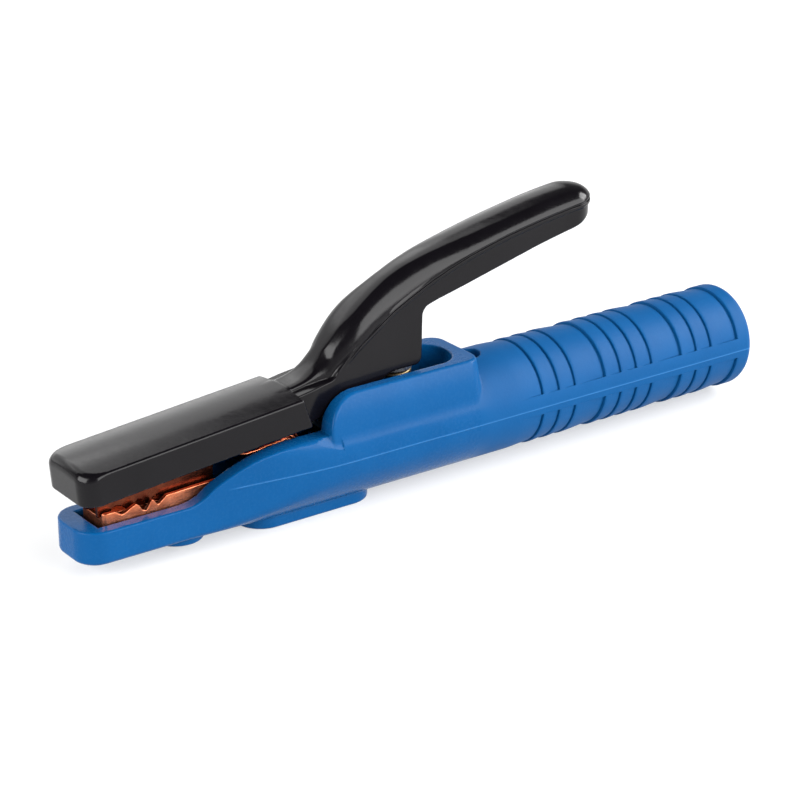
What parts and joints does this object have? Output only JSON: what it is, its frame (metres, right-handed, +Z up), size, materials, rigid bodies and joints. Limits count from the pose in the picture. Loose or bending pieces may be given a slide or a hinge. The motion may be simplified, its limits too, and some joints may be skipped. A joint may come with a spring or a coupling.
{
  "type": "welding electrode holder",
  "caption": "Hand-held welding electrode holder with a ribbed moulded grip, a sprung squeeze lever and notched copper jaws that clamp a stick electrode.",
  "frame": {"origin": "middle of the footprint, at the level of the pad under the body", "axes": "+X along the grip towards the cable end, +Z up from the pad towards the lever, +Y across, away from the side that the picture shows"},
  "size_m": [0.2566, 0.035, 0.086],
  "materials": {
    "blue_nylon": "satin moulded",
    "black_nylon": "gloss moulded",
    "copper": "pressed copper, lightly brushed",
    "brass": "machined",
    "bronze": "machined",
    "fibre": "matt",
    "spring_steel": "oiled",
    "plated_steel": "plated",
    "zinc_steel": "zinc plated"
  },
  "bodies": {
    "body": {"body_shell": "blue_nylon", "body_screws": "zinc_steel", "jaw_screw": "zinc_steel", "jaw_nut": "zinc_steel", "base_bar": "brass", "lower_jaw": "copper", "pivot_fork": "brass", "fork_rivets": "zinc_steel", "pivot_pin": "zinc_steel", "pin_clips": "spring_steel", "pivot_washers": "fibre", "spring_seat": "zinc_steel", "lever_spring": "spring_steel", "cable_socket": "brass", "lower_lug": "copper", "lower_lug_screw": "zinc_steel", "shunt": "copper"},
    "lever": {"lever_shell": "black_nylon", "upper_arm": "plated_steel", "pivot_bush": "bronze", "upper_jaw": "copper", "upper_jaw_rivets": "zinc_steel", "cover_screws": "zinc_steel", "spring_cap": "zinc_steel", "upper_lug": "copper", "upper_lug_screw": "zinc_steel"},
    "clamp_screw": {"clamp_screw": "zinc_steel", "clamp_shoe": "brass"}
  },
  "joints": [
    {"name": "lever_pivot", "type": "hinge", "parent": "body", "child": "lever", "pos_m": [-0.03095, 0, 0.023], "axis": [0, 1, 0], "range_deg": [0, 15], "stiffness_Nm_per_rad": 12, "springref_deg": -8.59, "deforming": ["lever_spring", "shunt"]},
    {"name": "clamp_screw_travel", "type": "slide", "parent": "body", "child": "clamp_screw", "axis": [0, 0, -1], "range_m": [0, 0.005]}
  ]
}
